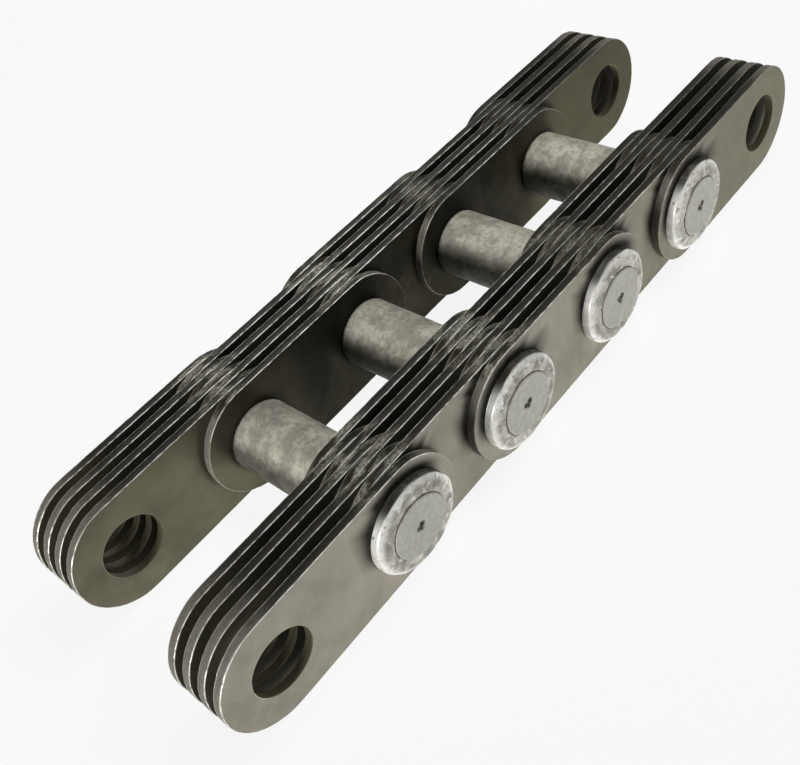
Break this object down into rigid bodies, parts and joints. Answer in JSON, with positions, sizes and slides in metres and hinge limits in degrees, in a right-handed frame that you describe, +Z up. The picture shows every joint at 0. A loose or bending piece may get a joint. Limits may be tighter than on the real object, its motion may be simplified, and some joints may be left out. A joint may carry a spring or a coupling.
{
  "type": "double-strand plate chain",
  "caption": "Heavy steel plate chain with paired strands of interleaved plates on shouldered cross pins, held by riveted washers, free at both ends.",
  "frame": {"origin": "on the surface that the chain lies on, under its middle", "axes": "+X along the chain, +Y along the cross pins towards the left strand, +Z up"},
  "size_m": [0.4634, 0.1498, 0.0626],
  "materials": {
    "plate_steel": "dark mill-scaled punched steel, olive grey, with brighter worn edges",
    "pin_steel": "turned steel, light grey with dark oily blotches",
    "washer_steel": "light grey steel, hammered and mottled by riveting"
  },
  "bodies": {
    "link_1": {"link_1_right_plate_1": "plate_steel", "link_1_right_plate_2": "plate_steel", "link_1_right_plate_3": "plate_steel", "link_1_right_plate_4": "plate_steel", "link_1_left_plate_1": "plate_steel", "link_1_left_plate_2": "plate_steel", "link_1_left_plate_3": "plate_steel", "link_1_left_plate_4": "plate_steel"},
    "link_2": {"link_2_right_plate_1": "plate_steel", "link_2_right_plate_2": "plate_steel", "link_2_right_plate_3": "plate_steel", "link_2_right_plate_4": "plate_steel", "link_2_left_plate_1": "plate_steel", "link_2_left_plate_2": "plate_steel", "link_2_left_plate_3": "plate_steel", "link_2_left_plate_4": "plate_steel"},
    "link_3": {"link_3_right_plate_1": "plate_steel", "link_3_right_plate_2": "plate_steel", "link_3_right_plate_3": "plate_steel", "link_3_right_plate_4": "plate_steel", "link_3_left_plate_1": "plate_steel", "link_3_left_plate_2": "plate_steel", "link_3_left_plate_3": "plate_steel", "link_3_left_plate_4": "plate_steel"},
    "link_4": {"link_4_right_plate_1": "plate_steel", "link_4_right_plate_2": "plate_steel", "link_4_right_plate_3": "plate_steel", "link_4_right_plate_4": "plate_steel", "link_4_left_plate_1": "plate_steel", "link_4_left_plate_2": "plate_steel", "link_4_left_plate_3": "plate_steel", "link_4_left_plate_4": "plate_steel"},
    "link_5": {"link_5_right_plate_1": "plate_steel", "link_5_right_plate_2": "plate_steel", "link_5_right_plate_3": "plate_steel", "link_5_right_plate_4": "plate_steel", "link_5_left_plate_1": "plate_steel", "link_5_left_plate_2": "plate_steel", "link_5_left_plate_3": "plate_steel", "link_5_left_plate_4": "plate_steel"},
    "pin_1": {"cross_pin_1": "pin_steel", "washer_1_right": "washer_steel", "washer_1_left": "washer_steel"},
    "pin_2": {"cross_pin_2": "pin_steel", "washer_2_right": "washer_steel", "washer_2_left": "washer_steel"},
    "pin_3": {"cross_pin_3": "pin_steel", "washer_3_right": "washer_steel", "washer_3_left": "washer_steel"},
    "pin_4": {"cross_pin_4": "pin_steel", "washer_4_right": "washer_steel", "washer_4_left": "washer_steel"}
  },
  "joints": [
    {"name": "joint_1_bend", "type": "hinge", "parent": "link_2", "child": "link_1", "pos_m": [-0.12, 0, 0.0313], "axis": [0, 1, 0], "range_deg": [-60, 60]},
    {"name": "joint_2_bend", "type": "hinge", "parent": "link_3", "child": "link_2", "pos_m": [-0.04, 0, 0.0313], "axis": [0, 1, 0], "range_deg": [-60, 60]},
    {"name": "joint_3_bend", "type": "hinge", "parent": "link_3", "child": "link_4", "pos_m": [0.04, 0, 0.0313], "axis": [0, -1, 0], "range_deg": [-60, 60]},
    {"name": "joint_4_bend", "type": "hinge", "parent": "link_4", "child": "link_5", "pos_m": [0.12, 0, 0.0313], "axis": [0, -1, 0], "range_deg": [-60, 60]},
    {"name": "pin_1_spin", "type": "hinge", "parent": "link_2", "child": "pin_1", "pos_m": [-0.12, 0, 0.0313], "axis": [0, 1, 0], "continuous": true},
    {"name": "pin_2_spin", "type": "hinge", "parent": "link_3", "child": "pin_2", "pos_m": [-0.04, 0, 0.0313], "axis": [0, 1, 0], "continuous": true},
    {"name": "pin_3_spin", "type": "hinge", "parent": "link_3", "child": "pin_3", "pos_m": [0.04, 0, 0.0313], "axis": [0, 1, 0], "continuous": true},
    {"name": "pin_4_spin", "type": "hinge", "parent": "link_4", "child": "pin_4", "pos_m": [0.12, 0, 0.0313], "axis": [0, 1, 0], "continuous": true}
  ]
}
